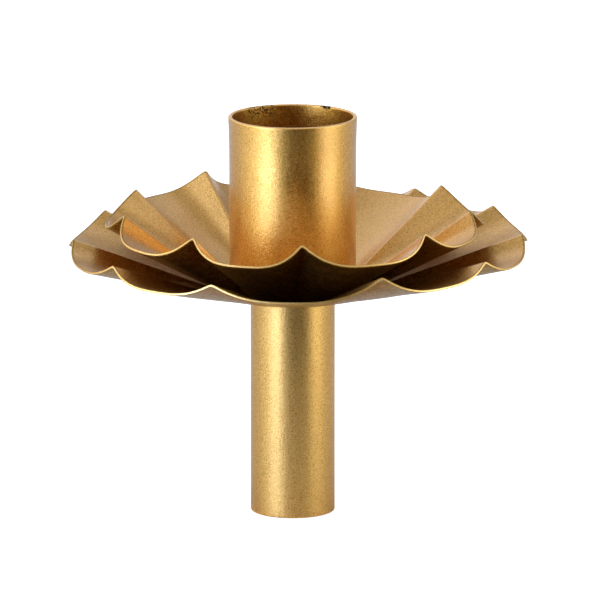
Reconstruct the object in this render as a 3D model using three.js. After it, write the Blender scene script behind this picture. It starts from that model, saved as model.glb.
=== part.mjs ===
// A candle holder with a stem to plug in by: a straight candle cup stands on two crimped drip pans, a small
// steep one nested in a large shallow one, and the stem is a plain tube under them. One screw through the
// middle clamps the stack together.
//
// Millimetres and degrees, +Z up. The origin is on the axis, on the flat underside of the lower pan, which
// is the face that the holder rests on. A bearing is measured round the axis from -Y, the front, towards
// +X.

import * as THREE from 'three';

// Candle cup
const cupDiameter = 24;
const cupWall = 0.75;
const cupHeight = 33.3;
const cupFloorThickness = 1.5;
const mouthFlareWidth = 0.2;
const mouthFlareHeight = 9;
const tubeEdgeRadius = 0.2;

// Stem
const stemDiameter = 16;
const stemWall = 1;
const stemLength = 42.1;
const stemDiscThickness = 2;

// Sheet that both pans are pressed from
const sheetThickness = 0.45;
const hubBendRadius = 1.5;
const foldRadius = 0.5;

// Upper pan. Its slopes are the lower pan's plus what keeps the two apart.
const upperSlantLength = 26.4;
const upperFoldRiseAngle = 9.8;
const upperFoldSharpness = 3.3;
const upperOffCentreDistance = 0.3;
const upperLeanAngle = 2.3;
const upperLeanBearing = -143;
const cupToHubBendGap = 0.6;
const angleBetweenPans = 7.2;

// Lower pan
const lowerSlantLength = 31.9;
const lowerValleyAngle = 15.8;
const lowerFoldRiseAngle = 5.1;
const lowerFoldSharpness = 2.9;
const lowerOffCentreDistance = 1.15;
const lowerLeanAngle = 2.1;
const lowerLeanBearing = 168;
const hubStepWidth = 0.4;

// Screw, washer and nut
const screwDiameter = 4;
const screwHeadDiameter = 8;
const screwHeadHeight = 2.6;
const screwLengthBeyondNut = 1.5;
const washerDiameter = 9;
const washerThickness = 0.8;
const nutAcrossFlats = 7;
const nutHeight = 3.2;

// Fits
const screwClearance = 0.3;
const weldGap = 0.05;
const freeFaceMargin = 0.2;

// The folds of each pan, set by hand as each was crimped: the ridge's bearing, and by how many degrees the
// ridge and then the valley that follows it stand above their pan's common slope.
const upperFolds = [
  { bearing: -187, ridge: 0, valley: 0 },
  { bearing: -148.5, ridge: 1, valley: 0.5 },
  { bearing: -113.5, ridge: -0.5, valley: -0.5 },
  { bearing: -73.5, ridge: -0.5, valley: -1 },
  { bearing: -33.5, ridge: -0.5, valley: 0 },
  { bearing: 3, ridge: 0, valley: 0.5 },
  { bearing: 46.5, ridge: 0, valley: 1.5 },
  { bearing: 82.5, ridge: 0.5, valley: 0 },
  { bearing: 121.5, ridge: 0.5, valley: -1 },
];
const lowerFolds = [
  { bearing: -183, ridge: 0, valley: 0 },
  { bearing: -152.5, ridge: 0, valley: 0 },
  { bearing: -120, ridge: 0, valley: 0 },
  { bearing: -84.5, ridge: 0.5, valley: 0 },
  { bearing: -52.5, ridge: 0, valley: 0 },
  { bearing: -20.5, ridge: -0.5, valley: -0.5 },
  { bearing: 22.5, ridge: 1, valley: 0 },
  { bearing: 55, ridge: -0.5, valley: -0.5 },
  { bearing: 84.5, ridge: 0, valley: 0 },
  { bearing: 117.5, ridge: 0, valley: 0 },
  { bearing: 146.5, ridge: 0, valley: 0 },
];

// Fineness of the facets
const sidesOfTurnedPieces = 48;
const sidesOfNutHole = 24;
const stepsPerHalfFold = 7;
const crowdingAtRidge = 1.8;
const stepsAlongBend = 2;
const stepsAlongSlope = 4;
const stepsPerRoundedEdge = 2;
const stepsAlongFlare = 4;

// Heights of the stack, from the face that the holder rests on up, and down inside the stem
const upperPanSeat = sheetThickness;
const cupSeat = upperPanSeat + sheetThickness;
const screwHeadSeat = cupSeat + cupFloorThickness;
const washerTop = -stemDiscThickness;
const nutTop = washerTop - washerThickness;
const screwTip = nutTop - nutHeight - screwLengthBeyondNut;
const screwHoleRadius = (screwDiameter + screwClearance) / 2;

// Colours and surfaces
const lacquer = { color: 0xcb9a55, roughness: 0.38, metalness: 0.85 };
const lacquerInShade = { color: 0xa87a3c, roughness: 0.45, metalness: 0.8 };
const zincPlate = { color: 0xb9bcc0, roughness: 0.35, metalness: 0.95 };

function piece(name, geometry, surface, height = 0) {
  const mesh = new THREE.Mesh(geometry, new THREE.MeshStandardMaterial(surface));
  mesh.name = name;
  mesh.position.z = height;
  return mesh;
}

// A profile in the plane of radius and height, turned about the axis.
function turned(path) {
  const geometry = new THREE.LatheGeometry(path.getPoints(stepsAlongFlare), sidesOfTurnedPieces);
  return geometry.rotateX(Math.PI / 2);
}

// A flat disc with the screw's hole, standing on height 0. Where something stands on the disc out to a
// covered radius, the free ring outside it is a face of its own.
function disc(radius, thickness, coveredRadius = 0) {
  const path = new THREE.Path();
  path.moveTo(screwHoleRadius, 0);
  path.lineTo(radius, 0);
  path.lineTo(radius, thickness);
  if (coveredRadius > 0) path.lineTo(coveredRadius, thickness);
  path.lineTo(screwHoleRadius, thickness);
  path.closePath();
  return turned(path);
}

// Adds the two rounded corners of a tube's end to a path that runs up its outside and down its inside.
function roundedEnd(path, inner, outer, height) {
  const corner = (centreRadius, from) => {
    for (let step = 0; step <= stepsPerRoundedEdge; step += 1) {
      const turn = from + (Math.PI / 2) * (step / stepsPerRoundedEdge);
      path.lineTo(
        centreRadius + tubeEdgeRadius * Math.cos(turn),
        height - tubeEdgeRadius + tubeEdgeRadius * Math.sin(turn),
      );
    }
  };
  corner(outer - tubeEdgeRadius, 0);
  corner(inner + tubeEdgeRadius, Math.PI / 2);
}

// Tube of the cup, standing on height 0, its wall leaning out a little towards the mouth.
function cupTube() {
  const outer = cupDiameter / 2;
  const inner = outer - cupWall;
  const flareStart = cupHeight - mouthFlareHeight;
  const flareEnd = cupHeight - tubeEdgeRadius;
  const flareMiddle = (flareStart + flareEnd) / 2;
  const path = new THREE.Path();
  path.moveTo(inner, 0);
  path.lineTo(outer, 0);
  path.lineTo(outer, flareStart);
  path.quadraticCurveTo(outer, flareMiddle, outer + mouthFlareWidth, flareEnd);
  roundedEnd(path, inner + mouthFlareWidth, outer + mouthFlareWidth, cupHeight);
  path.quadraticCurveTo(inner, flareMiddle, inner, flareStart);
  path.closePath();
  return turned(path);
}

// Tube of the stem, hanging from height 0, with its lower edge rounded off. It is drawn upside down.
function stemTube() {
  const outer = stemDiameter / 2;
  const inner = outer - stemWall;
  const path = new THREE.Path();
  path.moveTo(inner, 0);
  path.lineTo(outer, 0);
  roundedEnd(path, inner, outer, stemLength);
  path.closePath();
  return turned(path).rotateX(Math.PI);
}

// Pan head and shank of the screw in one profile, from the axis over the head and down to the tip. The
// height 0 is the face under the head.
function screw() {
  const shank = screwDiameter / 2;
  const head = screwHeadDiameter / 2;
  const length = screwHeadSeat - screwTip;
  const tipBevel = shank / 4;
  const path = new THREE.Path();
  path.moveTo(0, -length);
  path.lineTo(shank - tipBevel, -length);
  path.lineTo(shank, tipBevel - length);
  path.lineTo(shank, 0);
  path.lineTo(head, 0);
  path.lineTo(head, screwHeadHeight / 3);
  path.quadraticCurveTo(head, screwHeadHeight, 0, screwHeadHeight);
  return turned(path);
}

// Hexagon nut, standing on height 0.
function nut() {
  const cornerRadius = nutAcrossFlats / Math.sqrt(3);
  const corners = Array.from({ length: 6 }, (_, corner) => {
    const turn = (corner * Math.PI) / 3;
    return new THREE.Vector2(cornerRadius * Math.cos(turn), cornerRadius * Math.sin(turn));
  });
  const outline = new THREE.Shape(corners);
  const hole = new THREE.Path();
  hole.absarc(0, 0, screwHoleRadius, 0, 2 * Math.PI, true);
  outline.holes.push(hole);
  const curveSegments = sidesOfNutHole;
  return new THREE.ExtrudeGeometry(outline, { depth: nutHeight, bevelEnabled: false, curveSegments });
}

// How far a line at a share of the way from one ridge to the next is lifted out of the valley: 1 on the
// ridges, 0 in the middle. The ridge itself is rounded over the share that rounding gives.
function foldLift(share, sharpness, rounding) {
  const fromRidge = 2 * Math.min(share, 1 - share);
  const fall = Math.hypot(fromRidge, rounding) - rounding;
  const wholeFall = Math.hypot(1, rounding) - rounding;
  return (1 - fall / wholeFall) ** sharpness;
}

// Slope and length of the pan's straight line at a share of the way from a ridge to the next one. A pan is
// pressed from a round disc, so its lines are equally long but for what its hub is off the disc's centre.
function panLine(pan, index, share) {
  const fold = pan.folds[index];
  const next = pan.folds[(index + 1) % pan.folds.length];
  const turnToNext = THREE.MathUtils.euclideanModulo(next.bearing - fold.bearing, 360);
  const bearing = THREE.MathUtils.degToRad(fold.bearing + share * turnToNext);
  const towardsRight = Math.cos(bearing - Math.PI / 2);
  const towardsLean = Math.cos(bearing - THREE.MathUtils.degToRad(pan.leanBearing));
  const rimHalfFold = (Math.PI * (pan.hubRadius + pan.slant)) / pan.folds.length;
  const lift = foldLift(share, pan.sharpness, foldRadius / rimHalfFold);
  const valley = pan.valleySlope + fold.valley;
  const ridge = pan.ridgeSlope + (share < 0.5 ? fold.ridge : next.ridge);
  const slope = valley + (ridge - valley) * lift + pan.lean * towardsLean;
  return {
    bearing,
    slope: THREE.MathUtils.degToRad(slope),
    length: pan.slant + pan.offCentre * towardsRight,
  };
}

// Points of the sheet's middle layer along one line: across the flat hub, round the bend, up to the rim.
// Each has the slope of the sheet there.
function sectionPoints(line, pan) {
  const flatEnd = pan.hubRadius - hubBendRadius * Math.tan(line.slope / 2);
  const points = pan.flatRadii.map((radius) => ({ radius, height: 0, slope: 0 }));
  for (let step = 0; step <= stepsAlongBend; step += 1) {
    const slope = line.slope * (step / stepsAlongBend);
    points.push({
      radius: flatEnd + hubBendRadius * Math.sin(slope),
      height: hubBendRadius * (1 - Math.cos(slope)),
      slope,
    });
  }
  const bendEnd = pan.hubRadius - flatEnd;
  for (let step = 1; step <= stepsAlongSlope; step += 1) {
    const along = bendEnd + (line.length - bendEnd) * (step / stepsAlongSlope);
    points.push({
      radius: pan.hubRadius + along * Math.cos(line.slope),
      height: along * Math.sin(line.slope),
      slope: line.slope,
    });
  }
  return points;
}

function placeOnBearing(point, bearing) {
  return new THREE.Vector3(
    point.radius * Math.sin(bearing),
    -point.radius * Math.cos(bearing),
    point.height,
  );
}

// The middle layer of a pan at one line, with the direction square to the sheet at each point. The
// direction round the pan is taken between two lines close by on either side.
function panColumn(pan, index, share) {
  const nearby = 0.002;
  const line = panLine(pan, index, share);
  const sides = [-nearby, nearby].map((shift) => {
    const sideLine = share + shift < 0
      ? panLine(pan, (index + pan.folds.length - 1) % pan.folds.length, 1 + share + shift)
      : panLine(pan, index, share + shift);
    return sectionPoints(sideLine, pan).map((point) => placeOnBearing(point, sideLine.bearing));
  });
  return sectionPoints(line, pan).map((point, row) => {
    const outward = placeOnBearing(
      { radius: Math.cos(point.slope), height: Math.sin(point.slope) },
      line.bearing,
    );
    const round = new THREE.Vector3().subVectors(sides[1][row], sides[0][row]);
    return {
      centre: placeOnBearing(point, line.bearing),
      square: outward.cross(round).normalize(),
    };
  });
}

// Lines of a pan all the way round, crowded together at the ridges where the sheet bends most.
function panColumns(pan) {
  const shares = [];
  for (let step = 0; step < stepsPerHalfFold; step += 1) {
    shares.push(0.5 * (step / stepsPerHalfFold) ** crowdingAtRidge);
  }
  for (let step = stepsPerHalfFold; step > 0; step -= 1) {
    shares.push(1 - 0.5 * (step / stepsPerHalfFold) ** crowdingAtRidge);
  }
  return pan.folds.flatMap((_, index) => shares.map((share) => panColumn(pan, index, share)));
}

// A crimped pan of even thickness, its flat hub standing on height 0: the middle layer is moved half the
// sheet's thickness up and down, and the two layers are joined round the hole and round the rim. Rows of
// points lie on the hub at its flatRadii. Where something stands under the hub, the last of them runs
// round it, so that the free ring outside is a face of its own.
function crimpedPan(pan) {
  const columns = panColumns(pan);
  const rows = columns[0].length;
  const positions = [];
  for (const side of [1, -1]) {
    for (const column of columns) {
      for (const { centre, square } of column) {
        const point = centre.clone().addScaledVector(square, (side * sheetThickness) / 2);
        positions.push(point.x, point.y, point.z + sheetThickness / 2);
      }
    }
  }
  const top = (column, row) => (column % columns.length) * rows + row;
  const bottom = (column, row) => columns.length * rows + top(column, row);
  const triangles = [];
  const quad = (a, b, c, d) => triangles.push(a, b, c, a, c, d);
  for (let column = 0; column < columns.length; column += 1) {
    const next = column + 1;
    for (let row = 0; row < rows - 1; row += 1) {
      quad(top(column, row), top(column, row + 1), top(next, row + 1), top(next, row));
      quad(bottom(column, row), bottom(next, row), bottom(next, row + 1), bottom(column, row + 1));
    }
    const rim = rows - 1;
    quad(top(column, rim), bottom(column, rim), bottom(next, rim), top(next, rim));
    quad(top(column, 0), top(next, 0), bottom(next, 0), bottom(column, 0));
  }
  const geometry = new THREE.BufferGeometry();
  geometry.setAttribute('position', new THREE.Float32BufferAttribute(positions, 3));
  geometry.setIndex(triangles);
  return geometry;
}

const upperHubRadius = cupDiameter / 2 + cupToHubBendGap;
const upperValleyAngle = lowerValleyAngle + lowerFoldRiseAngle + angleBetweenPans;

const upperPan = crimpedPan({
  folds: upperFolds,
  flatRadii: [screwHoleRadius],
  hubRadius: upperHubRadius,
  slant: upperSlantLength,
  valleySlope: upperValleyAngle,
  ridgeSlope: upperValleyAngle + upperFoldRiseAngle,
  sharpness: upperFoldSharpness,
  offCentre: upperOffCentreDistance,
  lean: upperLeanAngle,
  leanBearing: upperLeanBearing,
});

const lowerPan = crimpedPan({
  folds: lowerFolds,
  flatRadii: [screwHoleRadius, stemDiameter / 2 + freeFaceMargin],
  hubRadius: upperHubRadius + hubStepWidth,
  slant: lowerSlantLength,
  valleySlope: lowerValleyAngle,
  ridgeSlope: lowerValleyAngle + lowerFoldRiseAngle,
  sharpness: lowerFoldSharpness,
  offCentre: lowerOffCentreDistance,
  lean: lowerLeanAngle,
  leanBearing: lowerLeanBearing,
});

const cupFloorRadius = cupDiameter / 2 - cupWall - weldGap;
const stemDiscRadius = stemDiameter / 2 - stemWall - weldGap;
const cupFloor = disc(cupFloorRadius, cupFloorThickness, screwHeadDiameter / 2 + freeFaceMargin);
const stemDisc = disc(stemDiscRadius, stemDiscThickness);
const washer = disc(washerDiameter / 2, washerThickness);

const candleHolder = new THREE.Group();
candleHolder.add(
  piece('candle_cup', cupTube(), lacquer, cupSeat),
  piece('cup_floor', cupFloor, lacquerInShade, cupSeat),
  piece('upper_pan', upperPan, lacquer, upperPanSeat),
  piece('lower_pan', lowerPan, lacquer),
  piece('stem_tube', stemTube(), lacquer),
  piece('stem_top_disc', stemDisc, lacquerInShade, -stemDiscThickness),
  piece('centre_screw', screw(), zincPlate, screwHeadSeat),
  piece('washer', washer, zincPlate, nutTop),
  piece('hex_nut', nut(), zincPlate, nutTop - nutHeight),
);

export default candleHolder;
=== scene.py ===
"""A gold lacquered candle holder with two crimped drip pans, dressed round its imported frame.

Metres, +Z up. A bearing is measured round the axis from -Y, the front, towards +X.
"""

import math
from collections import namedtuple

import bmesh
import bpy
import numpy as np
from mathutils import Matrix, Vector, noise


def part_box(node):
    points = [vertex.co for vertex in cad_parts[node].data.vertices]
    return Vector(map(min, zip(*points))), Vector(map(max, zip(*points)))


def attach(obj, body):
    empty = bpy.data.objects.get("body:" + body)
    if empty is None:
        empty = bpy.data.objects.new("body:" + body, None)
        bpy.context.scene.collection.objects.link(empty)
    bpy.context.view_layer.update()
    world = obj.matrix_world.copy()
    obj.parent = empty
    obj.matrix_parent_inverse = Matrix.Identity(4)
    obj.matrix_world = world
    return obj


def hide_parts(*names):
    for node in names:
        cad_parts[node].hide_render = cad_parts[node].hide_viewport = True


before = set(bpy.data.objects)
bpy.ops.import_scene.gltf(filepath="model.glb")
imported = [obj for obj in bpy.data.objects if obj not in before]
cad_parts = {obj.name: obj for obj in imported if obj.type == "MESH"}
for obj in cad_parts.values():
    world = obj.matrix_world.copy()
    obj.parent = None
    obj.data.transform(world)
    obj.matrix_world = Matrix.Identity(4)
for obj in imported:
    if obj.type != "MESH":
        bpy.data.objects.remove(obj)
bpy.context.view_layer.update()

bl_info = {
    "name": "Bottle candle holder",
    "version": (1, 0, 0),
    "blender": (4, 5, 0),
    "location": "View3D > Sidebar > Candle holder",
    "description": "Makes a lacquered candle holder with two crimped drip pans and its studio",
    "category": "Add Mesh",
}

MM = 0.001
BODY = "root"

Fold = namedtuple("Fold", "bearing ridge valley")
Pan = namedtuple(
    "Pan",
    "folds hub_radius slant valley_slope rise sharpness off_centre lean lean_bearing seed"
    " covered_hub",
)
Blotch = namedtuple("Blotch", "bearing breadth sets_in full grain threshold depth")
Lamp = namedtuple("Lamp", "name bearing elevation distance width height brightness tint")
Screen = namedtuple("Screen", "name radius bearings elevations brightness")

# Each fold's ridge, and by how many degrees the ridge and the valley after it stand above the
# pan's own slopes
UPPER_FOLDS = (
    Fold(-187, 0, 0),
    Fold(-148.5, 1, 0.5),
    Fold(-113.5, -0.5, -0.5),
    Fold(-73.5, -0.5, -1),
    Fold(-33.5, -0.5, 0),
    Fold(3, 0, 0.5),
    Fold(46.5, 0, 1.5),
    Fold(82.5, 0.5, 0),
    Fold(121.5, 0.5, -1),
)
LOWER_FOLDS = (
    Fold(-183, 0, 0),
    Fold(-152.5, 0, 0),
    Fold(-120, 0, 0),
    Fold(-84.5, 0.5, 0),
    Fold(-52.5, 0, 0),
    Fold(-20.5, -0.5, -0.5),
    Fold(22.5, 1, 0),
    Fold(55, -0.5, -0.5),
    Fold(84.5, 0, 0),
    Fold(117.5, 0, 0),
    Fold(146.5, 0, 0),
)

# Fineness of the meshes
TURNED_SIDES = 192
DISC_SIDES = 128
SCREW_SIDES = 72
NUT_SIDES = 120
HEAD_STEPS = 13
ROUND_STEPS = 5
FLARE_STEPS = 8
BEND_STEPS = 6
SLOPE_STEPS = 26
HALF_FOLD_STEPS = 26

# Angle between two faces from which their edge isn't smooth
SHARP_EDGE = math.radians(40)

# Radii of the holes round the screw, as multiples of its own
DISC_HOLE = 1.06
PAN_HOLE = 1.07
NUT_HOLE = 1.03

DISC_ROUNDING = 0.00015
WASHER_ROUNDING = 0.00012

# Sizes of the lumps of the lacquer's noises, and the height of its flakes
FLAKE = 0.00022
GLINT = 0.0003
LUMP = 0.0011
CLOUD = 0.009
FLAKE_RELIEF = 0.00006

# Values of those noises between which what they stand for sets in
GLINTS = (0.66, 0.8)
NIBS = (0.24, 0.21)
LUMPS = (0.35, 0.6)
THIN_CLOUDS = (0.42, 0.75)
ROUGH_CLOUDS = (0.35, 0.7)
DULL_CLOUDS = (0.3, 0.8)

# How strongly each of them, and each mark on the vertices, changes the lacquer's colour
LIGHT_FLAKES = 5
DARK_FLAKES = 6
DARK_FLAKES_IN_SHADE = 0.6
THIN_CLOUD = 0.16
# How much of the painted shade lies evenly rather than in lumps
EVENLY_SHADED = 0.6
# Lightening of bare edges, partly wear and partly a painted highlight, and of the crests, a painted
# highlight
EDGE_WEAR_AND_HIGHLIGHT = 0.85
CREST_HIGHLIGHT = 0.9

# How much each of them adds to the roughness or takes from the metal's sheen, relief and coat
FLAKE_ROUGHNESS = 0.2
CLOUD_ROUGHNESS = 0.06
EDGE_ROUGHNESS = 0.12
CHIP_ROUGHNESS = 0.4
CLOUD_DULLNESS = 0.02
# The dark outline painted on the rims' corners, standing in for shade, loses most of its metal
# sheen
OUTLINE_SHADE_DULLNESS = 0.7
NIB_RELIEF = 0.5
# Faces in painted shade lose most of their coat
SHADE_COAT_LOSS = 0.9

# Values of the painted shade mark between which it becomes a dark outline painted on the pans' rim
# corners, standing in for shade, and its value for the painted shade inside the cup
OUTLINE_SHADE = (1.1, 1.6)
INSIDE_THE_CUP = 0.8

# How far from a tube's cut end its bare edge reaches, which the lacquer lightens partly as wear and
# partly as a painted highlight
BARE_EDGE_REACH = 0.0003


def size(name, millimetres, description):
    """A length that a user can change."""
    return bpy.props.FloatProperty(
        name=name, description=description, default=millimetres * MM, unit="LENGTH", precision=5
    )


def angle(name, degrees, description):
    """An angle that a user can change."""
    return bpy.props.FloatProperty(
        name=name, description=description, default=math.radians(degrees), subtype="ANGLE"
    )


def share(name, default, description):
    """A share from 0 to 1 that a user can change."""
    return bpy.props.FloatProperty(
        name=name, description=description, default=default, min=0, max=1, subtype="FACTOR"
    )


def colour(name, red, green, blue, description):
    """A linear colour that a user can change."""
    return bpy.props.FloatVectorProperty(
        name=name,
        description=description,
        default=(red, green, blue),
        size=3,
        min=0,
        max=1,
        subtype="COLOR",
    )


class HolderSizes(bpy.types.PropertyGroup):
    """Sizes of the pieces beyond what the frame gives."""

    cup_wall: size("Cup wall", 0.75, "Thickness of the cup's wall")
    mouth_flare: size("Mouth flare", 0.2, "How far the cup's mouth stands out")
    mouth_flare_height: size("Flare height", 9, "Height over which the mouth leans out")
    stem_wall: size("Stem wall", 1, "Thickness of the stem's wall")
    edge_radius: size("Edge radius", 0.22, "Rounding of the tubes' cut ends under the lacquer")
    sheet: size("Pan sheet", 0.45, "Thickness of the pans' sheet")
    sheet_edge: size("Sheet edge", 0.13, "Rounding of the pans' rims under the lacquer")
    bend_radius: size("Hub bend", 1.5, "Bend between a pan's flat hub and its slope")
    fold_radius: size("Fold radius", 0.5, "Rounding of a ridge at the rim")
    cup_to_bend: size("Cup to bend", 0.6, "From the cup's wall to the bend of the upper pan")
    hub_step: size("Hub step", 0.4, "How much wider the lower pan's hub is")
    upper_slant: size("Upper slant", 26.4, "Length of the upper pan's slope")
    lower_slant: size("Lower slant", 31.9, "Length of the lower pan's slope")
    upper_off_centre: size("Upper off centre", 0.3, "How far the upper pan's hub is off its disc")
    lower_off_centre: size("Lower off centre", 1.15, "How far the lower pan's hub is off its disc")
    valley_slope: angle("Valley slope", 15.8, "Slope of the lower pan's valleys")
    lower_rise: angle("Lower rise", 5.1, "How much steeper the lower pan's ridges are")
    between_pans: angle("Between pans", 7.2, "From the lower ridges to the upper valleys")
    upper_rise: angle("Upper rise", 9.8, "How much steeper the upper pan's ridges are")
    upper_lean: angle("Upper lean", 2.3, "Lean of the upper pan")
    lower_lean: angle("Lower lean", 2.1, "Lean of the lower pan")
    dent: size("Dents", 0.09, "Depth of the soft dents that pressing leaves in a pan")


class HolderLook(bpy.types.PropertyGroup):
    """Colours of the finishes."""

    gold: colour("Gold", 0.8, 0.432, 0.112, "Gold lacquer of the pans and the stem")
    cup_gold: colour("Cup gold", 0.8, 0.385, 0.055, "Deeper gold lacquer of the cup")
    bright_flake: colour("Bright flake", 0.98, 0.57, 0.17, "Flakes that face the light")
    # Lightens bare edges, partly as wear and partly as a painted highlight, and the fold crests as
    # a painted highlight
    worn_and_highlight_gold: colour("Worn lacquer", 1.0, 0.58, 0.17, "Lacquer rubbed along folds and cut edges")
    thin_gold: colour("Thin lacquer", 0.5, 0.23, 0.03, "Lacquer where little of it has reached")
    # Painted shade under the pans and on the lower pan's top near its hub, and the colour of the
    # small dark nibs
    shade_and_nib_gold: colour("Covered", 0.37, 0.185, 0.012, "Lacquer under the pans and between them")
    # Painted shade inside the cup
    inner_shade_gold: colour("Inner lacquer", 0.43, 0.165, 0.012, "Lacquer inside the cup")
    chip: colour("Chip", 0.03, 0.017, 0.01, "Bare dark steel in a chip")
    zinc: colour("Zinc", 0.56, 0.57, 0.6, "Colour of the plated fasteners")
    roughness: share("Roughness", 0.34, "Roughness of the gold lacquer")
    grain: share("Grain", 0.75, "How much the flakes stand out")


class StudioSizes(bpy.types.PropertyGroup):
    """The camera, the floor and the light from all round."""

    distance: size("Camera distance", 1500, "From the camera to the axis of the holder")
    elevation: angle("Camera elevation", 12.3, "How far the camera looks down")
    field: size("Field", 113.85, "Width of the picture at the axis")
    aim_right: size("Aim right", 1.385, "How far right of the axis the camera aims")
    aim_down: size("Aim down", 1.33, "How far under the lower pan's seat the camera aims")
    floor_radius: size("Floor radius", 2500, "Radius of the floor")
    ambient: share("Ambient", 0.3, "Light that comes from all round")


class Wire:
    """A shader socket that stands for its value in a sum: every operator adds one Math node."""

    def __init__(self, nodes, socket):
        self.nodes = nodes
        self.socket = socket

    def maths(self, operation, *values, clamp=False):
        sockets = dict(enumerate(values))
        settings = {"operation": operation, "use_clamp": clamp}
        return self.nodes.add("ShaderNodeMath", settings, sockets)

    def __add__(self, other):
        return self.maths("ADD", self, other)

    __radd__ = __add__

    def __sub__(self, other):
        return self.maths("SUBTRACT", self, other)

    def __rsub__(self, other):
        return self.maths("SUBTRACT", other, self)

    def __mul__(self, other):
        return self.maths("MULTIPLY", self, other)

    __rmul__ = __mul__

    def clamped(self):
        return self.maths("ADD", self, 0.0, clamp=True)

    def within(self, low, high):
        """0 before low and 1 beyond high, turning smoothly between them."""
        sockets = {"Value": self, "From Min": low, "From Max": high}
        return self.nodes.add("ShaderNodeMapRange", {"interpolation_type": "SMOOTHSTEP"}, sockets)


class Nodes:
    """The node tree of one material or world."""

    def __init__(self, owner):
        owner.use_nodes = True
        self.tree = owner.node_tree
        self.tree.nodes.clear()

    def add(self, kind, settings=None, sockets=None, output=0):
        """A node with its settings, then the values or wires of its sockets. Gives one output."""
        node = self.tree.nodes.new(kind)
        for name, value in (settings or {}).items():
            setattr(node, name, value)
        for name, value in (sockets or {}).items():
            if isinstance(value, Wire):
                self.tree.links.new(value.socket, node.inputs[name])
            else:
                node.inputs[name].default_value = value
        return Wire(self, node.outputs[output]) if node.outputs else None

    def mixed(self, factor, first, second):
        """Two colours mixed by a factor. The node's colour sockets are told apart by number."""
        sockets = {0: factor, 6: opaque(first), 7: opaque(second)}
        return self.add("ShaderNodeMix", {"data_type": "RGBA"}, sockets, output=2)

    def noise(self, grain, detail=2.0, roughness=0.5, stretch=(1, 1, 1)):
        """Noise from 0 to 1 whose lumps are about grain metres across."""
        sockets = {"Vector": self.place(), "Scale": [along / grain for along in stretch]}
        scaled = self.add("ShaderNodeMapping", sockets=sockets)
        sockets = {"Vector": scaled, "Scale": 1.0, "Detail": detail, "Roughness": roughness}
        return self.add("ShaderNodeTexNoise", {"normalize": True}, sockets)

    def place(self):
        return self.add("ShaderNodeTexCoord", output="Object")

    def attribute(self, name):
        return self.add("ShaderNodeAttribute", {"attribute_name": name}, output="Fac")


def opaque(value):
    """A colour with its alpha, or the wire that it is."""
    return value if isinstance(value, Wire) else (*value, 1.0)


def surface(nodes, varying, constant):
    """Ends a material: its shader's sockets that vary, and those that are the same all over."""
    shader = nodes.add("ShaderNodeBsdfPrincipled", sockets={**constant, **varying})
    nodes.add("ShaderNodeOutputMaterial", sockets={"Surface": shader})


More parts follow.
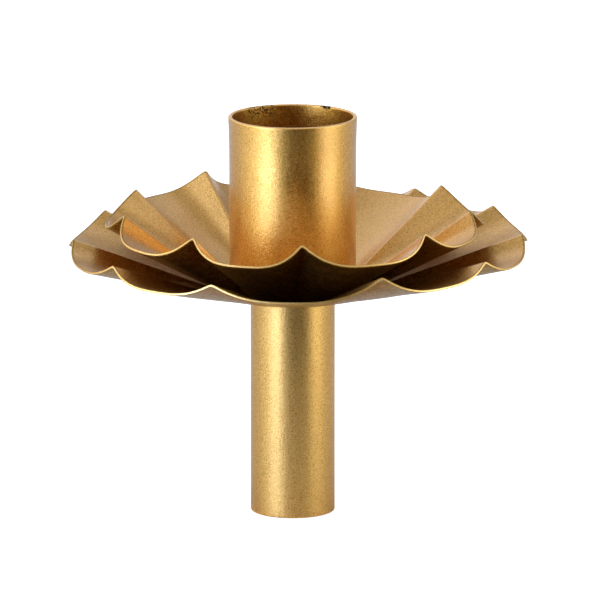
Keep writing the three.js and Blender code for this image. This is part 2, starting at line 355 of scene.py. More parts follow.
def lacquer(name, look, gold, shade_gold, clear, nibs, blotches=()):
    """Gold lacquer full of fine metal flakes, with small dark nibs and blotches.

    It is gold where light reaches and shade_gold where shade is painted, under a clear coat of
    the weight clear. The vertices' attributes are 1 on bare edges, lightened partly as wear and
    partly as a painted highlight, on the crests of the folds, which get a painted highlight, and
    where shade is painted; the shade mark is 2 where a dark outline standing in for shade is
    painted beside a cut edge.
    """
    material = bpy.data.materials.new(name)
    nodes = Nodes(material)
    flake = nodes.noise(FLAKE, detail=1.0)
    glint = nodes.noise(GLINT, detail=1.0)
    lump = nodes.noise(LUMP, detail=3.0, roughness=0.6)
    cloud = nodes.noise(CLOUD, detail=3.0)
    # The edge mark lightens bare edges, partly as wear and partly as a painted highlight
    edge = nodes.attribute("edge")
    # The crest mark is a painted highlight along each fold's ridge
    crest_highlight = nodes.attribute("crest_highlight")
    # The shade mark: painted shade under the pans, where the upper pan shades the lower one, and
    # inside the cup
    covered = nodes.attribute("covered")

    grain = (1.0 - edge) * look.grain
    bright = (((flake - 0.5) * LIGHT_FLAKES + glint.within(*GLINTS)) * grain).clamped()
    dark = ((0.5 - flake) * DARK_FLAKES * grain).clamped()
    nib = glint.within(*NIBS) * nibs
    # The dark outline painted on the pans' rim corners, standing in for shade
    outline_shade = covered.within(*OUTLINE_SHADE)
    lit = nodes.mixed(bright, gold, look.bright_flake)
    lit = nodes.mixed(dark, lit, look.thin_gold)
    lit = nodes.mixed(cloud.within(*THIN_CLOUDS) * THIN_CLOUD, lit, look.thin_gold)
    # Painted shade: the colour of faces taken to be out of the light, with darker flakes
    shaded = nodes.mixed(bright, shade_gold, gold)
    shaded = nodes.mixed(dark * DARK_FLAKES_IN_SHADE, shaded, look.chip)
    patchy = covered * (EVENLY_SHADED + lump.within(*LUMPS) * (1 - EVENLY_SHADED))
    body = nodes.mixed(patchy.clamped(), lit, shaded)
    body = nodes.mixed(nib, body, look.shade_and_nib_gold)
    # Painted highlight on the edges, partly wear as well
    body = nodes.mixed(edge * EDGE_WEAR_AND_HIGHLIGHT, body, look.worn_and_highlight_gold)
    # Painted highlight along the crests
    body = nodes.mixed(crest_highlight * CREST_HIGHLIGHT, body, look.worn_and_highlight_gold)

    roughness = look.roughness + (flake - 0.5) * FLAKE_ROUGHNESS
    roughness = roughness + cloud.within(*ROUGH_CLOUDS) * CLOUD_ROUGHNESS + edge * EDGE_ROUGHNESS
    metallic = 1.0 - cloud.within(*DULL_CLOUDS) * CLOUD_DULLNESS - outline_shade * OUTLINE_SHADE_DULLNESS
    height = (flake - nib * NIB_RELIEF) * (1.0 - edge)
    relief = {"Strength": 0.8, "Distance": FLAKE_RELIEF, "Height": height}
    # Faces in painted shade lose most of their coat
    coat = (1.0 - covered * SHADE_COAT_LOSS).clamped() * clear
    for blotch in blotches:
        mark = blotch_mark(nodes, blotch)
        body = nodes.mixed(mark, body, look.chip)
        roughness = roughness + mark * CHIP_ROUGHNESS
        coat = coat * (1.0 - mark)
    varying = {
        "Base Color": body,
        "Roughness": roughness,
        "Metallic": metallic,
        "Normal": nodes.add("ShaderNodeBump", sockets=relief),
        "Coat Weight": coat,
    }
    surface(nodes, varying, {"Coat Roughness": 0.25, "Coat IOR": 1.5})
    return material


def blotch_mark(nodes, blotch):
    """1 on the dark spots of a blotch.

    They lie on one side of the holder, set in at one height and are full from another one up.
    """
    place = nodes.place()
    turn = math.radians(blotch.bearing)
    outward, across = (
        nodes.add(
            "ShaderNodeVectorMath", {"operation": "DOT_PRODUCT"}, {0: place, 1: way}, output="Value"
        )
        for way in ((math.sin(turn), -math.cos(turn), 0), (math.cos(turn), math.sin(turn), 0))
    )
    up = nodes.add("ShaderNodeSeparateXYZ", sockets={"Vector": place}, output="Z")
    half_breadth = blotch.breadth / 2
    beside = (across * across).within(half_breadth ** 2, half_breadth ** 2 / 2)
    spot = nodes.noise(blotch.grain, detail=4.0, roughness=0.65)
    softness = 0.05
    dark = spot.within(blotch.threshold, blotch.threshold + softness)
    side = outward.within(0, MM)
    return up.within(blotch.sets_in, blotch.full) * side * beside * dark * blotch.depth


def zinc_plate(look):
    """Bright zinc plate with a faint turned grain and a dull bloom."""
    material = bpy.data.materials.new("zinc plate")
    nodes = Nodes(material)
    turned_grain = nodes.noise(0.0004, detail=3.0, stretch=(1, 1, 6))
    bloom = nodes.noise(0.0025, detail=4.0, roughness=0.6)
    dull = [channel * 0.55 for channel in look.zinc]
    relief = {"Strength": 0.3, "Distance": 0.00003, "Height": turned_grain}
    varying = {
        "Base Color": nodes.mixed(bloom.within(0.4, 0.75), look.zinc, dull),
        "Roughness": 0.24 + bloom * 0.22,
        "Metallic": 1.0 - bloom.within(0.6, 0.9) * 0.2,
        "Normal": nodes.add("ShaderNodeBump", sockets=relief),
    }
    surface(nodes, varying, {"Coat Weight": 0.0})
    return material


def finished(name, vertices, faces, material, node, slot, **marks):
    """A smooth closed mesh as a piece of the holder that stands for its node of the frame.

    Each mark is an attribute of the vertices that the lacquer reads.
    """
    mesh = bpy.data.meshes.new(name)
    mesh.from_pydata([tuple(v) for v in vertices], [], faces)
    mesh.validate()
    worked = bmesh.new()
    worked.from_mesh(mesh)
    bmesh.ops.recalc_face_normals(worked, faces=worked.faces)
    worked.to_mesh(mesh)
    worked.free()
    mesh.shade_smooth()
    mesh.set_sharp_from_angle(angle=SHARP_EDGE)
    for mark, values in marks.items():
        mesh.attributes.new(mark, "FLOAT", "POINT").data.foreach_set("value", np.float32(values))
    mesh.materials.append(material)
    piece = bpy.data.objects.new(name, mesh)
    bpy.context.scene.collection.objects.link(piece)
    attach(piece, BODY)
    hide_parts(node)
    return piece


def ring_faces(columns, rows, closed_rows=True):
    """Quads of a grid that closes on itself round the axis, and along its rows if those close."""
    faces = []
    for column in range(columns):
        after = (column + 1) % columns
        for row in range(rows if closed_rows else rows - 1):
            below = (row + 1) % rows
            corners = ((column, row), (after, row), (after, below), (column, below))
            faces.append(tuple(c * rows + r for c, r in corners))
    return faces


def on_bearing(radius, height, bearing):
    """Points of every row at radius and height, with each line of them on its own bearing."""
    turn = bearing[:, None]
    return np.stack([radius * np.sin(turn), -radius * np.cos(turn), height], -1)


def spun(profiles, bearings):
    """Vertices of profiles of radius and height, each placed on its bearing."""
    return on_bearing(profiles[..., 0], profiles[..., 1], bearings).reshape(-1, 3)


def rounded(corners):
    """A closed profile from corners (radius, height, rounding), with points just off each round."""
    points = []
    count = len(corners)
    for index, (x, y, rounding) in enumerate(corners):
        here = Vector((x, y))
        if not rounding:
            points.append(here)
            continue
        back = (Vector(corners[index - 1][:2]) - here).normalized()
        on = (Vector(corners[(index + 1) % count][:2]) - here).normalized()
        half = back.angle(on) / 2
        reach = rounding / math.tan(half)
        centre = here + (back + on).normalized() * (rounding / math.sin(half))
        start = here + back * reach
        end = here + on * reach
        support = rounding * 0.3
        points.append(start + back * support)
        for step in range(ROUND_STEPS + 1):
            part = start.lerp(end, step / ROUND_STEPS) - centre
            points.append(centre + part.normalized() * rounding)
        points.append(end + on * support)
    return np.array([tuple(point) for point in points])


def turned(
    name, corners, material, node, slot, sides=TURNED_SIDES, bare_heights=(), painted_shade_within=0.0
):
    """A ring turned from a closed profile.

    The rounds at the bare heights count as bare edges, which are lightened partly as wear and
    partly as a painted highlight, and faces within a radius get painted shade.
    """
    profile = rounded(corners)
    bearings = np.linspace(0, 2 * math.pi, sides, endpoint=False)
    vertices = spun(np.repeat(profile[None], sides, axis=0), bearings)
    radius = np.hypot(vertices[:, 0], vertices[:, 1])
    # Painted shade inside the cup
    covered = INSIDE_THE_CUP * (radius < painted_shade_within)
    edge = np.zeros(len(vertices))
    # Bare edges, lightened partly as wear and partly as a painted highlight
    for height in bare_heights:
        from_end = np.abs(vertices[:, 2] - height)
        edge = np.maximum(edge, 1 - np.clip(from_end / BARE_EDGE_REACH, 0, 1))
    faces = ring_faces(sides, len(profile))
    finished(name, vertices, faces, material, node, slot, edge=edge, covered=covered)


def half_width(node):
    """Half the width of a node of the frame."""
    low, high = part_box(node)
    return (high.x - low.x) / 2


def screw_radius():
    """Radius of the screw's thread, whose head is twice as wide."""
    return half_width("centre_screw") / 2


def make_cup(sizes, look):
    """Tube of the cup: straight, with its mouth leaning out a little and a rounded bare edge."""
    low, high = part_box("candle_cup")
    mouth = half_width("candle_cup")
    outer = mouth - sizes.mouth_flare
    inner = outer - sizes.cup_wall
    foot, top = low.z, high.z
    flare = []
    for step in range(FLARE_STEPS):
        part = step / FLARE_STEPS
        height = top - sizes.mouth_flare_height * (1 - part)
        flare.append((sizes.mouth_flare * part * part, height))
    corners = [(inner, foot, 0), (outer, foot, 0)]
    corners += [(outer + out, height, 0) for out, height in flare]
    corners += [(mouth, top, sizes.edge_radius), (mouth - sizes.cup_wall, top, sizes.edge_radius)]
    corners += [(inner + out, height, 0) for out, height in reversed(flare)]
    chip = Blotch(
        bearing=147,
        breadth=0.0026,
        sets_in=top - 0.0005,
        full=top - 0.0003,
        grain=0.0009,
        threshold=0.44,
        depth=1.0,
    )
    rim_specks = Blotch(
        bearing=188,
        breadth=0.011,
        sets_in=top - 0.0006,
        full=top - 0.0003,
        grain=0.0006,
        threshold=0.58,
        depth=0.9,
    )
    inner_specks = Blotch(
        bearing=213,
        breadth=0.007,
        sets_in=top - 0.0034,
        full=top - 0.0008,
        grain=0.0004,
        threshold=0.48,
        depth=0.9,
    )
    blotches = (chip, rim_specks, inner_specks)
    material = lacquer(
        "cup lacquer", look, look.cup_gold, look.inner_shade_gold, clear=0.8, nibs=0.2, blotches=blotches
    )
    turned(
        "candle_cup_tube",
        corners,
        material,
        "candle_cup",
        "gold_lacquer",
        # The mouth's edge is lightened, partly as wear and partly as a painted highlight
        bare_heights=(top,),
        # Painted shade inside the cup
        painted_shade_within=inner + sizes.cup_wall * 0.3,
    )


def make_disc(name, node, material, slot, rounding):
    """A flat round disc with a hole for the screw, its corners rounded."""
    low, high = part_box(node)
    radius = half_width(node)
    hole = screw_radius() * DISC_HOLE
    corners = [
        (hole, low.z, rounding),
        (radius, low.z, rounding),
        (radius, high.z, rounding),
        (hole, high.z, rounding),
    ]
    turned(name, corners, material, node, slot, sides=DISC_SIDES)


def fold_lift(part, sharpness, rounding):
    """How far a line at a part of the way between two ridges is lifted: 1 on a ridge, 0 between."""
    from_ridge = 2 * np.minimum(part, 1 - part)
    fall = np.hypot(from_ridge, rounding) - rounding
    whole = math.hypot(1, rounding) - rounding
    return (1 - fall / whole) ** sharpness


def pan_lines(pan, index, part, fold_radius):
    """Bearing, slope and length of a pan's straight lines at parts of the way between ridges."""
    count = len(pan.folds)
    fold, after = pan.folds[index], pan.folds[(index + 1) % count]
    bearing = np.radians(fold.bearing + part * ((after.bearing - fold.bearing) % 360))
    rim_half_fold = math.pi * (pan.hub_radius + pan.slant) / count
    lift = fold_lift(part, pan.sharpness, fold_radius / rim_half_fold)
    valley = pan.valley_slope + math.radians(fold.valley)
    own_ridge = np.where(part < 0.5, fold.ridge, after.ridge)
    ridge = pan.valley_slope + pan.rise + np.radians(own_ridge)
    lean = pan.lean * np.cos(bearing - math.radians(pan.lean_bearing))
    length = pan.slant + pan.off_centre * np.sin(bearing)
    return bearing, valley + (ridge - valley) * lift + lean, length


def pan_section(sizes):
    """Rows of a pan's section, from the hole along its underside, round the rim and back on top.

    Each row is where it lies on the flat, on the bend or on the slope, how far it stops short of
    the rim, and on which side of the middle layer it lies.
    """
    flat = [("flat", 0.0), ("flat", 0.5)]
    bend = [("bend", step / BEND_STEPS) for step in range(BEND_STEPS + 1)]
    slope = [("slope", step / SLOPE_STEPS) for step in range(1, SLOPE_STEPS)]
    half = sizes.sheet / 2
    corner = sizes.sheet_edge
    out = [(*row, 0.0) for row in flat + bend + slope]
    out.append(("slope", 1.0, corner * 3))
    rows = [(*row, -half) for row in out]
    arc = [math.pi / 2 * step / ROUND_STEPS for step in range(ROUND_STEPS + 1)]
    for side, turns in ((-1, arc), (1, arc[::-1])):
        for turn in turns:
            short = corner * (1 - math.sin(turn))
            aside = half - corner * (1 - math.cos(turn))
            rows.append(("slope", 1.0, short, side * aside))
    rows += [(*row, half) for row in reversed(out)]
    return rows


def section_point(row, slope, length, hub_radius, hole, bend_radius):
    """Radius, height and slope of the middle layer at one row, for every line at once."""
    where, part, short, _ = row
    reach = bend_radius * np.tan(slope / 2)
    flat_end = hub_radius - reach
    if where == "flat":
        return hole + (flat_end - hole) * part, np.zeros_like(slope), np.zeros_like(slope)
    if where == "bend":
        turn = slope * part
        return flat_end + bend_radius * np.sin(turn), bend_radius * (1 - np.cos(turn)), turn
    along = reach + (length - reach) * part - short
    return hub_radius + along * np.cos(slope), along * np.sin(slope), slope


def pan_vertices(pan, sizes, hole, seat):
    """Vertices of a pan, line by line round it, lines crowded together at the ridges."""
    crowding = 1.7
    nearby = 0.002
    steps = np.arange(HALF_FOLD_STEPS)
    before_middle = 0.5 * (steps / HALF_FOLD_STEPS) ** crowding
    after_middle = 1 - 0.5 * (1 - steps / HALF_FOLD_STEPS) ** crowding
    parts = np.concatenate([before_middle, after_middle])
    rows = pan_section(sizes)
    columns = []
    for index in range(len(pan.folds)):
        layers = []
        for shift in (0, -nearby, nearby):
            lines = pan_lines(pan, index, np.abs(parts + shift), sizes.fold_radius)
            # A line just before the ridge belongs to the fold before this one
            early = parts + shift < 0
            if early.any():
                before = pan_lines(pan, index - 1, 1 + parts[early] + shift, sizes.fold_radius)
                for values, earlier in zip(lines, before):
                    values[early] = earlier
            layers.append(lines)
        columns.append(pan_columns(pan, sizes, hole, rows, layers))
    grid = np.concatenate(columns)
    grid[..., 2] += seat + sizes.sheet / 2
    return grid


def pan_marks(pan, sizes):
    """Marks on a pan's vertices: its bare rim, its painted shade and the painted highlight on its
    crests.

    The middle of the rim is bare, lightened partly as wear and partly as a painted highlight, and a
    dark outline standing in for shade is painted on the rim's corners. Under the pan all is in
    painted shade, and on top the painted shade of a pan above fades out along the slope.
    """
    bare_to_outline_shade = (0.45, 0.75)
    shade_fades = (0.4375, 1.0625)
    rows = pan_section(sizes)
    edge, covered = [], []
    for where, part, short, aside in rows:
        from_hub = part if where == "slope" else 0.0
        # The rim: bare and lightened in its middle, partly as wear and partly as a painted
        # highlight; a dark outline standing in for shade is painted on its corners
        if from_hub == 1 and short <= sizes.sheet_edge:
            outlying = np.interp(abs(aside) / (sizes.sheet / 2), bare_to_outline_shade, (0, 1))
            edge.append(1 - outlying)
            covered.append(2 * outlying)
        else:
            edge.append(0.0)
            # Painted shade: all under the pan, and on top where the pan above is taken to shade it
            on_top = pan.covered_hub * np.interp(from_hub, shade_fades, (1, 0))
            covered.append(1.0 if aside < 0 else on_top)
    # A painted highlight along each ridge
    line = np.arange(2 * HALF_FOLD_STEPS)
    from_ridge = np.minimum(line, 2 * HALF_FOLD_STEPS - line)
    crest_highlight = np.tile(np.clip(1 - from_ridge / 2, 0, 1), len(pan.folds))
    return {
        "edge": np.tile(edge, len(crest_highlight)),
        "covered": np.tile(covered, len(crest_highlight)),
        "crest_highlight": np.repeat(crest_highlight, len(rows)),
    }


def pan_columns(pan, sizes, hole, rows, layers):
    """The points of all rows on one fold's lines, set off square to the sheet."""
    placed = []
    for bearing, slope, length in layers:
        points = [
            section_point(row, slope, length, pan.hub_radius, hole, sizes.bend_radius)
            for row in rows
        ]
        radius, height, turn = np.stack(points, -1)
        placed.append((on_bearing(radius, height, bearing), turn, bearing))
    middle, turn, bearing = placed[0]
    outward = on_bearing(np.cos(turn), np.sin(turn), bearing)
    across = placed[2][0] - placed[1][0]
    square = np.cross(outward, across)
    square /= np.linalg.norm(square, axis=-1, keepdims=True)
    aside = np.array([row[-1] for row in rows])[None, :, None]
    dents = sheet_dents(middle, pan.hub_radius, pan.seed) * sizes.dent
    return middle + square * (aside + dents[..., None])


def sheet_dents(points, hub_radius, seed):
    """Soft unevenness of pressed sheet, from -1 to 1, fading out on the flat hub."""
    lump = 0.0075
    flat = hub_radius + 0.001
    fade = 0.006
    values = np.empty(points.shape[:2])
    for index in np.ndindex(values.shape):
        x, y, _ = points[index]
        values[index] = noise.noise(Vector((x / lump, y / lump, seed)))
    radius = np.hypot(points[..., 0], points[..., 1])
    return values * np.clip((radius - flat) / fade, 0, 1)


def make_pan(name, node, pan, sizes, look):
    """A crimped drip pan as one pressed sheet of even thickness."""
    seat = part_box(node)[0].z
    grid = pan_vertices(pan, sizes, screw_radius() * PAN_HOLE, seat)
    material = lacquer(
        f"{name} lacquer", look, look.gold, look.shade_and_nib_gold, clear=1.0, nibs=0.25
    )
    vertices, faces = grid.reshape(-1, 3), ring_faces(*grid.shape[:2])
    marks = pan_marks(pan, sizes)
    finished(name, vertices, faces, material, node, "gold_lacquer", **marks)


def make_pans(sizes, look):
    """Both pans. The upper one's slopes follow from the lower one's."""
    upper_hub = half_width("candle_cup") - sizes.mouth_flare + sizes.cup_to_bend
    upper = Pan(
        folds=UPPER_FOLDS,
        hub_radius=upper_hub,
        slant=sizes.upper_slant,
        valley_slope=sizes.valley_slope + sizes.lower_rise + sizes.between_pans,
        rise=sizes.upper_rise,
        sharpness=3.3,
        off_centre=sizes.upper_off_centre,
        lean=sizes.upper_lean,
        lean_bearing=-143,
        seed=3.7,
        covered_hub=0.0,
    )
    lower = Pan(
        folds=LOWER_FOLDS,
        hub_radius=upper_hub + sizes.hub_step,
        slant=sizes.lower_slant,
        valley_slope=sizes.valley_slope,
        rise=sizes.lower_rise,
        sharpness=2.9,
        off_centre=sizes.lower_off_centre,
        lean=sizes.lower_lean,
        lean_bearing=168,
        seed=9.2,
        # The upper pan's painted shade on this pan's top near the hub
        covered_hub=1.0,
    )
    make_pan("upper_crimped_pan", "upper_pan", upper, sizes, look)
    make_pan("lower_crimped_pan", "lower_pan", lower, sizes, look)


def make_stem(sizes, look):
    """Tube of the stem, cut off square at its lower end."""
    low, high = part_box("stem_tube")
    outer = half_width("stem_tube")
    inner = outer - sizes.stem_wall
    corners = [
        (inner, low.z, sizes.edge_radius),
        (outer, low.z, sizes.edge_radius),
        (outer, high.z, 0),
        (inner, high.z, 0),
    ]
    material = lacquer("stem lacquer", look, look.gold, look.shade_and_nib_gold, clear=0.15, nibs=0.25)
    # The lower end's edge is lightened, partly as wear and partly as a painted highlight
    turned("stem_tube_wall", corners, material, "stem_tube", "gold_lacquer", bare_heights=(low.z,))


def six_sided(half_flats, bearing):
    """Radius of a hexagon on a bearing, from half the width across its flats."""
    return half_flats / np.cos((bearing + math.pi / 6) % (math.pi / 3) - math.pi / 6)


def make_screw(material):
    """Pan head screw with a threaded shank and a hexagon socket in its head."""
    low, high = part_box("centre_screw")
    under_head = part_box("cup_floor")[1].z
    shank = screw_radius()
    head = 2 * shank
    head_height = high.z - under_head
    head_side = head_height * 0.35
    head_rounding = 0.0012
    crown = head_height * 0.22
    socket_depth = head_height * 0.6
    socket_flats = shank * 0.62
    lip, lip_top, lip_foot = 0.00012, 0.0001, 0.00025
    tip_flat = shank * 0.5
    pitch = 0.0007
    thread_depth = 0.0004
    rows_per_turn = 8

    bearings = np.linspace(0, 2 * math.pi, SCREW_SIDES, endpoint=False)
    rows = rows_per_turn * round((under_head - low.z) / pitch)
    heights = np.linspace(low.z, under_head, rows)
    phase = (heights[None, :] / pitch - bearings[:, None] / (2 * math.pi)) % 1
    groove = 1 - np.abs(2 * phase - 1)
    under_runout = np.clip((under_head - heights) / pitch, 0, 1)
    runout = under_runout * np.clip((heights - low.z) / pitch, 0, 1)
    tip = (1 - runout) * (heights < under_head - pitch)
    thread = shank - thread_depth * (groove * runout + tip)

    outline = [(head, under_head)]
    for turn in np.linspace(0, math.pi / 2, HEAD_STEPS + 1):
        radius = head - head_rounding * (1 - math.cos(turn))
        outline.append((radius, under_head + head_side + head_rounding * math.sin(turn)))
    outline += [(head * part, high.z - crown * part * part) for part in (0.6, 0.5)]
    socket = six_sided(socket_flats, bearings)
    columns = []
    for index in range(SCREW_SIDES):
        column = [(0.0, low.z), (tip_flat, low.z)]
        column += list(zip(thread[index], heights))
        column += outline
        column += [(socket[index] + lip, high.z - lip_top), (socket[index], high.z - lip_foot)]
        column += [(socket[index], high.z - socket_depth), (0.0, high.z - socket_depth)]
        columns.append(column)
    profiles = np.array(columns)
    faces = ring_faces(SCREW_SIDES, profiles.shape[1], closed_rows=False)
    vertices = spun(profiles, bearings)
    piece = finished("centre_screw_m4", vertices, faces, material, "centre_screw", "zinc_plate")
    weld(piece, distance=1e-7)


def weld(piece, distance):
    """Joins the vertices that meet on the axis, and drops the faces that this closes up."""
    worked = bmesh.new()
    worked.from_mesh(piece.data)
    bmesh.ops.remove_doubles(worked, verts=worked.verts, dist=distance)
    bmesh.ops.dissolve_degenerate(worked, edges=worked.edges, dist=distance)
    bmesh.ops.recalc_face_normals(worked, faces=worked.faces)
    worked.to_mesh(piece.data)
    worked.free()
    piece.data.set_sharp_from_angle(angle=SHARP_EDGE)


def make_nut(material):
    """Hexagon nut with its corners chamfered on both faces."""
    low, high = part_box("hex_nut")
    flats = (high.y - low.y) / 2
    chamfer_start = flats * 0.96
    chamfer_slope = math.tan(math.radians(30))
    hole = screw_radius() * NUT_HOLE
    countersink, countersink_depth = 0.0003, 0.0004
    bearings = np.linspace(0, 2 * math.pi, NUT_SIDES, endpoint=False) + math.pi / NUT_SIDES
    columns = []
    for bearing in bearings:
        outer = six_sided(flats, bearing)
        drop = (outer - chamfer_start) * chamfer_slope
        column = [
            (hole, low.z + countersink_depth),
            (hole + countersink, low.z),
            (chamfer_start, low.z),
            (outer, low.z + drop),
            (outer, high.z - drop),
            (chamfer_start, high.z),
            (hole + countersink, high.z),
            (hole, high.z - countersink_depth),
        ]
        columns.append(column)
    profiles = np.array(columns)
    faces = ring_faces(NUT_SIDES, profiles.shape[1])
    vertices = spun(profiles, bearings)
    piece = finished("hex_nut_m4", vertices, faces, material, "hex_nut", "zinc_plate")
    # The chamfers are too shallow to show as edges at the usual angle
    piece.data.set_sharp_from_angle(angle=math.radians(25))


def towards(bearing, elevation):
    """Direction from the holder on a bearing and an elevation, both in degrees."""
    turn, rise = math.radians(bearing), math.radians(elevation)
    return Vector(
        (math.sin(turn) * math.cos(rise), -math.cos(turn) * math.cos(rise), math.sin(rise))
    )


def facing(direction):
    """Rotation of a camera or lamp that stands in a direction and looks back."""
    return (-direction).to_track_quat("-Z", "Y")


def make_camera(studio):
    """Camera at the photograph's angle: far off, a little above, aimed beside the axis."""
    back = towards(0, math.degrees(studio.elevation))
    rotation = facing(back)
    aim = rotation @ Vector((studio.aim_right, -studio.aim_down, 0))
    data = bpy.data.cameras.new("camera")
    data.lens = data.sensor_width * studio.distance / studio.field
    data.clip_end = 20
    camera = bpy.data.objects.new("camera", data)
    camera.rotation_mode = "QUATERNION"
    camera.rotation_quaternion = rotation
    camera.location = aim + back * studio.distance
    bpy.context.scene.collection.objects.link(camera)
    bpy.context.scene.camera = camera


# Tints that keep the highlights on the gold from turning orange, from none to strong
WHITE = (1.0, 1.0, 1.0)
PALE = (0.8, 0.91, 1.0)
MILD = (0.72, 0.9, 1.0)
COOL = (0.38, 0.55, 1.0)

# Bearings and elevations are in degrees. The brightness is that of the lamp's face, so a larger
# lamp gives more light.
LAMPS = (
    Lamp("left strip", -45.5, 3, 0.7, 0.3, 0.15, 25.5, COOL),
    Lamp("left high strip", -48, 16, 0.8, 0.35, 0.22, 7.6, COOL),
    Lamp("left softbox", -78, 12, 0.9, 0.5, 0.4, 3.7, MILD),
    Lamp("left back softbox", -115, 30, 1.2, 0.9, 0.6, 1.1, WHITE),
    Lamp("rear left softbox", -155, 30, 1.3, 0.7, 0.55, 0.38, WHITE),
    Lamp("right near strip", 66, 2, 0.3, 0.16, 0.12, 2.8, PALE),
    Lamp("right strip", 73, 16, 0.8, 0.35, 0.22, 4.3, MILD),
    Lamp("right softbox", 95, 20, 0.9, 0.5, 0.5, 1.65, MILD),
    Lamp("top left softbox", -60, 56, 1.2, 0.8, 0.6, 0.95, PALE),
    Lamp("top right softbox", 60, 56, 1.2, 0.8, 0.6, 0.9, PALE),
    Lamp("front high softbox", 0, 54, 1.3, 1.2, 0.3, 0.35, PALE),
    Lamp("overhead softbox", -110, 76, 1.2, 0.5, 0.5, 0.3, PALE),
    Lamp("back softbox", 180, 50, 1.4, 1.2, 0.6, 0.62, PALE),
)
# The room walls glow at their brightness, though they are no lamps; the front flag gives no light
SCREENS = (
    Screen("room walls", 1.9, (-160, 160), (-2, 90), 0.36),
    Screen("room back wall", 1.9, (160, 200), (15, 90), 0.36),
    Screen("front flag", 0.11, (-24, 48), (-22.5, 32), 0.0),
)


def make_lamp(lamp):
    """A softbox whose light is spread evenly over its size."""
    data = bpy.data.lights.new(lamp.name, "AREA")
    data.shape = "RECTANGLE"
    data.size, data.size_y = lamp.width, lamp.height
    data.energy = lamp.brightness * math.pi * lamp.width * lamp.height
    data.color = lamp.tint
    softbox = bpy.data.objects.new(lamp.name, data)
    direction = towards(lamp.bearing, lamp.elevation)
    softbox.rotation_mode = "QUATERNION"
    softbox.rotation_quaternion = facing(direction)
    softbox.location = direction * lamp.distance
    softbox.visible_camera = False
    bpy.context.scene.collection.objects.link(softbox)


def make_screen(screen):
    """Part of a sphere round the holder, seen only in reflections: a dark cloth glowing as a pale
    wall, or a black flag.
    """
    material = bpy.data.materials.new(f"{screen.name} cloth")
    nodes = Nodes(material)
    cloth = nodes.mixed(nodes.noise(0.01), (0.012, 0.011, 0.01), (0.02, 0.019, 0.018))
    constant = {
        "Roughness": 0.95,
        "Emission Color": opaque(WHITE),
        "Emission Strength": screen.brightness,
    }
    surface(nodes, {"Base Color": cloth}, constant)
    step = 10
    columns = 1 + round((screen.bearings[1] - screen.bearings[0]) / step)
    rows = 1 + round((screen.elevations[1] - screen.elevations[0]) / step)
    points = [
        towards(bearing, elevation) * screen.radius
        for bearing in np.linspace(*screen.bearings, columns)
        for elevation in np.linspace(*screen.elevations, rows)
    ]
    faces = []
    for column in range(columns - 1):
        for row in range(rows - 1):
            corner = column * rows + row
            faces.append((corner, corner + 1, corner + rows + 1, corner + rows))
    mesh = bpy.data.meshes.new(screen.name)
    mesh.from_pydata(points, [], faces)
    mesh.materials.append(material)
    hung = bpy.data.objects.new(screen.name, mesh)
    hung.visible_camera = False
    hung.visible_diffuse = False
    hung.visible_shadow = False
    bpy.context.scene.collection.objects.link(hung)


def make_world(studio):
    """Plain light from all round, and white behind the holder for the camera and reflections."""
    world = bpy.data.worlds.new("studio")
    bpy.context.scene.world = world
    nodes = Nodes(world)
    camera_ray = nodes.add("ShaderNodeLightPath", output="Is Camera Ray")
    glossy_ray = nodes.add("ShaderNodeLightPath", output="Is Glossy Ray")
    looked_at = (camera_ray + glossy_ray).clamped()
    ambient, white = (
        nodes.add("ShaderNodeBackground", sockets={"Color": opaque(WHITE), "Strength": strength})
        for strength in (studio.ambient, 1.0)
    )
    shown = nodes.add("ShaderNodeMixShader", sockets={0: looked_at, 1: ambient, 2: white})
    nodes.add("ShaderNodeOutputWorld", sockets={"Surface": shown})


def make_floor(studio):
    """Pale floor under the end of the stem, white to the camera where no shadow falls."""
    material = bpy.data.materials.new("pale floor")
    nodes = Nodes(material)
    camera_ray = nodes.add("ShaderNodeLightPath", output="Is Camera Ray")
    paper = nodes.mixed(nodes.noise(0.15), (0.8, 0.8, 0.8), (0.83, 0.83, 0.83))
    lit = nodes.add("ShaderNodeBsdfDiffuse", sockets={"Color": paper})
    glow = nodes.add("ShaderNodeEmission", sockets={"Color": opaque(WHITE), "Strength": 0.75})
    shown = nodes.add("ShaderNodeMixShader", sockets={0: camera_ray, 2: glow})
    both = nodes.add("ShaderNodeAddShader", sockets={0: lit, 1: shown})
    nodes.add("ShaderNodeOutputMaterial", sockets={"Surface": both})
    worked = bmesh.new()
    bmesh.ops.create_circle(worked, cap_ends=True, radius=studio.floor_radius, segments=96)
    mesh = bpy.data.meshes.new("floor")
    worked.to_mesh(mesh)
    worked.free()
    mesh.materials.append(material)
    floor = bpy.data.objects.new("floor", mesh)
    floor.location.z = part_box("stem_tube")[0].z
    bpy.context.scene.collection.objects.link(floor)


class HOLDER_OT_studio(bpy.types.Operator):
    """Set up the camera, the softboxes, the screens that reflections show and the pale floor"""

    bl_idname = "holder.studio"
    bl_label = "Studio"

    def execute(self, context):
        studio = context.scene.holder_studio
        make_camera(studio)
        for lamp in LAMPS:
            make_lamp(lamp)
        for screen in SCREENS:
            make_screen(screen)
        make_world(studio)
        make_floor(studio)
        context.scene.view_settings.view_transform = "Standard"
        return {"FINISHED"}


class HOLDER_OT_cup(bpy.types.Operator):
    """Make the candle cup and the floor inside it"""

    bl_idname = "holder.cup"
    bl_label = "Candle cup"

    def execute(self, context):
        sizes, look = context.scene.holder_sizes, context.scene.holder_look
        make_cup(sizes, look)
        material = lacquer(
            "cup floor lacquer", look, look.gold, look.inner_shade_gold, clear=0.1, nibs=0.5
        )
        make_disc(
            "cup_floor_disc", "cup_floor", material, "inner_lacquer", rounding=DISC_ROUNDING
        )
        return {"FINISHED"}


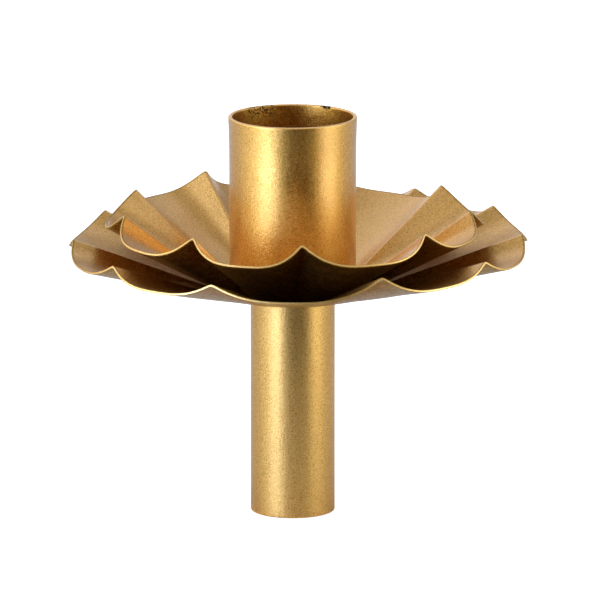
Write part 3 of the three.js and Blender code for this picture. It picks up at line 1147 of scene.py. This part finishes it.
class HOLDER_OT_pans(bpy.types.Operator):
    """Make both crimped drip pans"""

    bl_idname = "holder.pans"
    bl_label = "Drip pans"

    def execute(self, context):
        make_pans(context.scene.holder_sizes, context.scene.holder_look)
        return {"FINISHED"}


class HOLDER_OT_stem(bpy.types.Operator):
    """Make the stem and the disc in its upper end"""

    bl_idname = "holder.stem"
    bl_label = "Stem"

    def execute(self, context):
        sizes, look = context.scene.holder_sizes, context.scene.holder_look
        make_stem(sizes, look)
        material = lacquer(
            "stem disc lacquer", look, look.gold, look.shade_and_nib_gold, clear=0.1, nibs=0.5
        )
        make_disc(
            "stem_end_disc", "stem_top_disc", material, "inner_lacquer", rounding=DISC_ROUNDING
        )
        return {"FINISHED"}


class HOLDER_OT_fasteners(bpy.types.Operator):
    """Make the screw, its washer and its nut"""

    bl_idname = "holder.fasteners"
    bl_label = "Fasteners"

    def execute(self, context):
        material = zinc_plate(context.scene.holder_look)
        make_screw(material)
        make_disc("plain_washer", "washer", material, "zinc_plate", rounding=WASHER_ROUNDING)
        make_nut(material)
        return {"FINISHED"}


class HOLDER_PT_panel(bpy.types.Panel):
    """Lists the pieces and the studio"""

    bl_label = "Candle holder"
    bl_idname = "HOLDER_PT_panel"
    bl_space_type = "VIEW_3D"
    bl_region_type = "UI"
    bl_category = "Candle holder"

    def draw(self, context):
        for made in OPERATORS:
            self.layout.operator(made.bl_idname)
        for group in ("holder_sizes", "holder_look", "holder_studio"):
            settings = getattr(context.scene, group)
            box = self.layout.box()
            for name in settings.__annotations__:
                box.prop(settings, name)


OPERATORS = (
    HOLDER_OT_studio,
    HOLDER_OT_cup,
    HOLDER_OT_pans,
    HOLDER_OT_stem,
    HOLDER_OT_fasteners,
)
CLASSES = (HolderSizes, HolderLook, StudioSizes, *OPERATORS, HOLDER_PT_panel)


def register():
    for made in CLASSES:
        bpy.utils.register_class(made)
    bpy.types.Scene.holder_sizes = bpy.props.PointerProperty(type=HolderSizes)
    bpy.types.Scene.holder_look = bpy.props.PointerProperty(type=HolderLook)
    bpy.types.Scene.holder_studio = bpy.props.PointerProperty(type=StudioSizes)


def unregister():
    del bpy.types.Scene.holder_studio
    del bpy.types.Scene.holder_look
    del bpy.types.Scene.holder_sizes
    for made in reversed(CLASSES):
        bpy.utils.unregister_class(made)


def main():
    register()
    bpy.ops.holder.studio()
    bpy.ops.holder.cup()
    bpy.ops.holder.pans()
    bpy.ops.holder.stem()
    bpy.ops.holder.fasteners()


if __name__ == "__main__":
    main()
